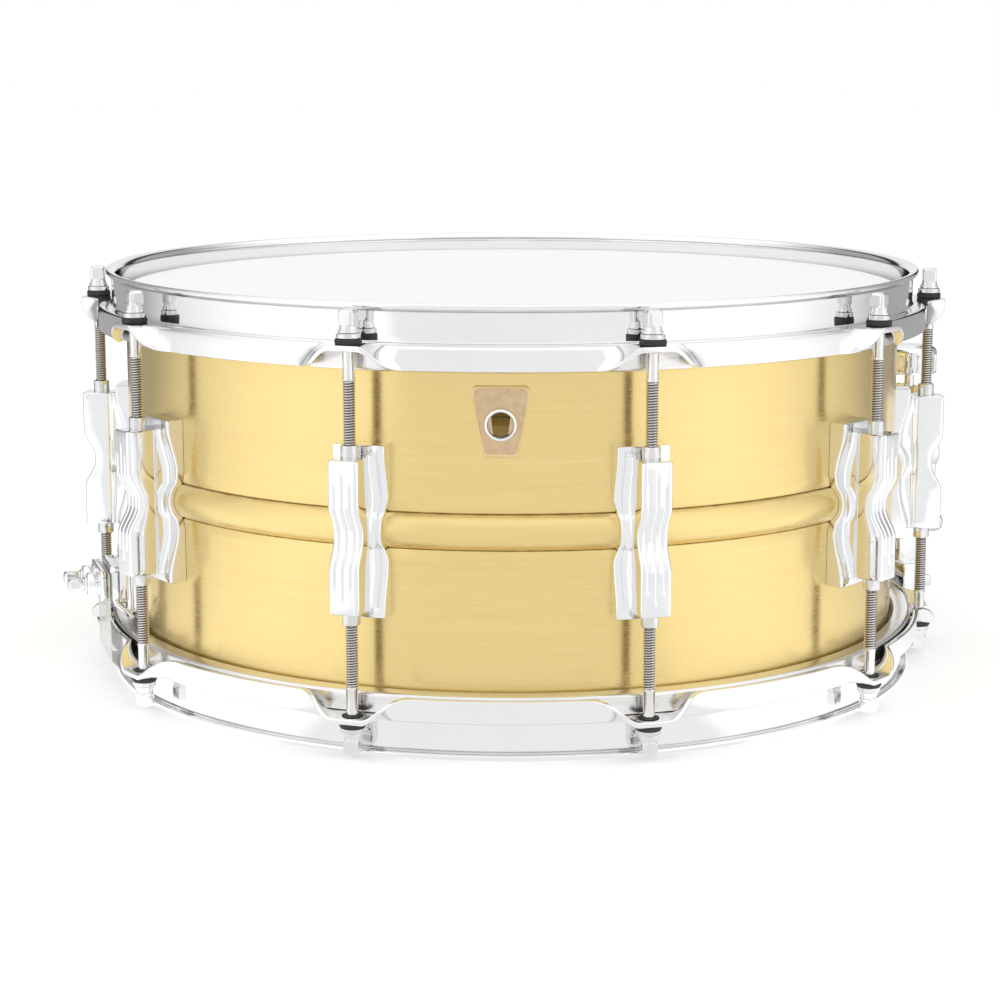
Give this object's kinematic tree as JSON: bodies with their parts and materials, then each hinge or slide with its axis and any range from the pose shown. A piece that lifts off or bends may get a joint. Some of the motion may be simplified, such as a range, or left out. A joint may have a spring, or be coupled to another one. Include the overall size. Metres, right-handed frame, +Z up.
{
  "type": "snare drum",
  "caption": "Brass-shell snare drum with chrome triple-flanged hoops, tube-post lugs, key rods, strainer with throw-off lever, butt and coiled snare wires.",
  "frame": {"origin": "on the shell's axis, in the plane of the snare-side hoop's lip that the drum stands on", "axes": "+Z up along the shell's axis to the batter head, +X along the snare wires from the butt to the strainer"},
  "size_m": [0.43, 0.399, 0.183],
  "materials": {
    "shell_brass": "brushed along the circumference, clear lacquer",
    "badge_brass": "satin, raised plain border",
    "chrome_bright": "polished chrome plate",
    "nickel_steel": "nickel plated steel",
    "zinc_steel": "bright zinc plated steel",
    "washer_rubber": "matt black",
    "hoop_chrome": "polished chrome plate on pressed steel",
    "head_coated": "white sprayed coating with a fine grain",
    "flesh_aluminium": "rolled aluminium channel",
    "head_clear": "hazy translucent film",
    "rod_chrome": "chrome plated steel, rolled thread",
    "nut_brass": "turned brass",
    "wire_steel": "coiled bright steel wire",
    "plate_brass": "stamped brass plate",
    "strap_plastic": "thin milky plastic strip"
  },
  "bodies": {
    "drum": {"shell": "shell_brass", "badge": "badge_brass", "vent_grommet": "chrome_bright", "lug_01": "chrome_bright", "lug_02": "chrome_bright", "lug_03": "chrome_bright", "lug_04": "chrome_bright", "lug_05": "chrome_bright", "lug_06": "chrome_bright", "lug_07": "chrome_bright", "lug_08": "chrome_bright", "lug_09": "chrome_bright", "lug_10": "chrome_bright", "lug_inserts": "nickel_steel", "shell_screws": "zinc_steel", "shell_screw_washers": "zinc_steel", "rod_washers": "nickel_steel", "rod_rubber_washers": "washer_rubber", "batter_hoop": "hoop_chrome", "batter_head": "head_coated", "batter_flesh_hoop": "flesh_aluminium", "snare_hoop": "hoop_chrome", "snare_head": "head_clear", "snare_flesh_hoop": "flesh_aluminium", "head_collars": "head_clear", "strainer_base": "chrome_bright", "butt_base": "chrome_bright", "butt_clamp_plate": "chrome_bright", "butt_clamp_screws": "nickel_steel"},
    "strainer_lever": {"strainer_lever": "chrome_bright"},
    "strainer_slide": {"strainer_slide": "chrome_bright", "strainer_nut": "nut_brass"},
    "strainer_knob": {"strainer_knob": "chrome_bright", "strainer_adjust_screw": "nickel_steel"},
    "snare_clamp": {"strainer_carriage": "chrome_bright", "strainer_clamp_plate": "chrome_bright", "strainer_clamp_screws": "nickel_steel"},
    "snare_unit": {"snare_wires": "wire_steel", "snare_end_plates": "plate_brass", "snare_straps": "strap_plastic"},
    "rod_batter_01": {"rod_batter_01": "rod_chrome"},
    "rod_batter_02": {"rod_batter_02": "rod_chrome"},
    "rod_batter_03": {"rod_batter_03": "rod_chrome"},
    "rod_batter_04": {"rod_batter_04": "rod_chrome"},
    "rod_batter_05": {"rod_batter_05": "rod_chrome"},
    "rod_batter_06": {"rod_batter_06": "rod_chrome"},
    "rod_batter_07": {"rod_batter_07": "rod_chrome"},
    "rod_batter_08": {"rod_batter_08": "rod_chrome"},
    "rod_batter_09": {"rod_batter_09": "rod_chrome"},
    "rod_batter_10": {"rod_batter_10": "rod_chrome"},
    "rod_snare_01": {"rod_snare_01": "rod_chrome"},
    "rod_snare_02": {"rod_snare_02": "rod_chrome"},
    "rod_snare_03": {"rod_snare_03": "rod_chrome"},
    "rod_snare_04": {"rod_snare_04": "rod_chrome"},
    "rod_snare_05": {"rod_snare_05": "rod_chrome"},
    "rod_snare_06": {"rod_snare_06": "rod_chrome"},
    "rod_snare_07": {"rod_snare_07": "rod_chrome"},
    "rod_snare_08": {"rod_snare_08": "rod_chrome"},
    "rod_snare_09": {"rod_snare_09": "rod_chrome"},
    "rod_snare_10": {"rod_snare_10": "rod_chrome"}
  },
  "joints": [
    {"name": "lever_throw", "type": "hinge", "parent": "drum", "child": "strainer_lever", "pos_m": [0.211, 0, 0.0855], "axis": [1, 0, 0], "range_deg": [0, 90]},
    {"name": "lever_slide", "type": "slide", "parent": "drum", "child": "strainer_slide", "axis": [0, 0, -1], "range_m": [0, 0.00352]},
    {"name": "lever_snare_drop", "type": "hinge", "parent": "drum", "child": "snare_unit", "pos_m": [-0.19095, 0, 0.0455], "axis": [0, 1, 0], "range_deg": [0, 0.5146]},
    {"name": "knob_turn", "type": "hinge", "parent": "strainer_slide", "child": "strainer_knob", "pos_m": [0.2023, 0, 0.0915], "axis": [0, 0, 1], "range_deg": [-720, 720]},
    {"name": "knob_clamp_travel", "type": "slide", "parent": "strainer_slide", "child": "snare_clamp", "axis": [0, 0, 1], "range_m": [-0.00162, 0.00162]},
    {"name": "rod_turn_batter_01", "type": "hinge", "parent": "drum", "child": "rod_batter_01", "pos_m": [0, -0.1915, 0.0915], "axis": [0, 0, 1], "continuous": true},
    {"name": "rod_turn_batter_02", "type": "hinge", "parent": "drum", "child": "rod_batter_02", "pos_m": [0.11256, -0.15493, 0.0915], "axis": [0, 0, 1], "continuous": true},
    {"name": "rod_turn_batter_03", "type": "hinge", "parent": "drum", "child": "rod_batter_03", "pos_m": [0.18213, -0.05918, 0.0915], "axis": [0, 0, 1], "continuous": true},
    {"name": "rod_turn_batter_04", "type": "hinge", "parent": "drum", "child": "rod_batter_04", "pos_m": [0.18213, 0.05918, 0.0915], "axis": [0, 0, 1], "continuous": true},
    {"name": "rod_turn_batter_05", "type": "hinge", "parent": "drum", "child": "rod_batter_05", "pos_m": [0.11256, 0.15493, 0.0915], "axis": [0, 0, 1], "continuous": true},
    {"name": "rod_turn_batter_06", "type": "hinge", "parent": "drum", "child": "rod_batter_06", "pos_m": [0, 0.1915, 0.0915], "axis": [0, 0, 1], "continuous": true},
    {"name": "rod_turn_batter_07", "type": "hinge", "parent": "drum", "child": "rod_batter_07", "pos_m": [-0.11256, 0.15493, 0.0915], "axis": [0, 0, 1], "continuous": true},
    {"name": "rod_turn_batter_08", "type": "hinge", "parent": "drum", "child": "rod_batter_08", "pos_m": [-0.18213, 0.05918, 0.0915], "axis": [0, 0, 1], "continuous": true},
    {"name": "rod_turn_batter_09", "type": "hinge", "parent": "drum", "child": "rod_batter_09", "pos_m": [-0.18213, -0.05918, 0.0915], "axis": [0, 0, 1], "continuous": true},
    {"name": "rod_turn_batter_10", "type": "hinge", "parent": "drum", "child": "rod_batter_10", "pos_m": [-0.11256, -0.15493, 0.0915], "axis": [0, 0, 1], "continuous": true},
    {"name": "rod_turn_snare_01", "type": "hinge", "parent": "drum", "child": "rod_snare_01", "pos_m": [0, -0.1915, 0.0915], "axis": [0, 0, 1], "continuous": true},
    {"name": "rod_turn_snare_02", "type": "hinge", "parent": "drum", "child": "rod_snare_02", "pos_m": [0.11256, -0.15493, 0.0915], "axis": [0, 0, 1], "continuous": true},
    {"name": "rod_turn_snare_03", "type": "hinge", "parent": "drum", "child": "rod_snare_03", "pos_m": [0.18213, -0.05918, 0.0915], "axis": [0, 0, 1], "continuous": true},
    {"name": "rod_turn_snare_04", "type": "hinge", "parent": "drum", "child": "rod_snare_04", "pos_m": [0.18213, 0.05918, 0.0915], "axis": [0, 0, 1], "continuous": true},
    {"name": "rod_turn_snare_05", "type": "hinge", "parent": "drum", "child": "rod_snare_05", "pos_m": [0.11256, 0.15493, 0.0915], "axis": [0, 0, 1], "continuous": true},
    {"name": "rod_turn_snare_06", "type": "hinge", "parent": "drum", "child": "rod_snare_06", "pos_m": [0, 0.1915, 0.0915], "axis": [0, 0, 1], "continuous": true},
    {"name": "rod_turn_snare_07", "type": "hinge", "parent": "drum", "child": "rod_snare_07", "pos_m": [-0.11256, 0.15493, 0.0915], "axis": [0, 0, 1], "continuous": true},
    {"name": "rod_turn_snare_08", "type": "hinge", "parent": "drum", "child": "rod_snare_08", "pos_m": [-0.18213, 0.05918, 0.0915], "axis": [0, 0, 1], "continuous": true},
    {"name": "rod_turn_snare_09", "type": "hinge", "parent": "drum", "child": "rod_snare_09", "pos_m": [-0.18213, -0.05918, 0.0915], "axis": [0, 0, 1], "continuous": true},
    {"name": "rod_turn_snare_10", "type": "hinge", "parent": "drum", "child": "rod_snare_10", "pos_m": [-0.11256, -0.15493, 0.0915], "axis": [0, 0, 1], "continuous": true}
  ],
  "couplings": [
    {"joint": "lever_slide", "follows": "lever_throw", "m_per_rad": 0.0022282},
    {"joint": "lever_snare_drop", "follows": "lever_throw", "ratio": 0.0056957},
    {"joint": "knob_clamp_travel", "follows": "knob_turn", "m_per_rad": 0.00012732}
  ]
}
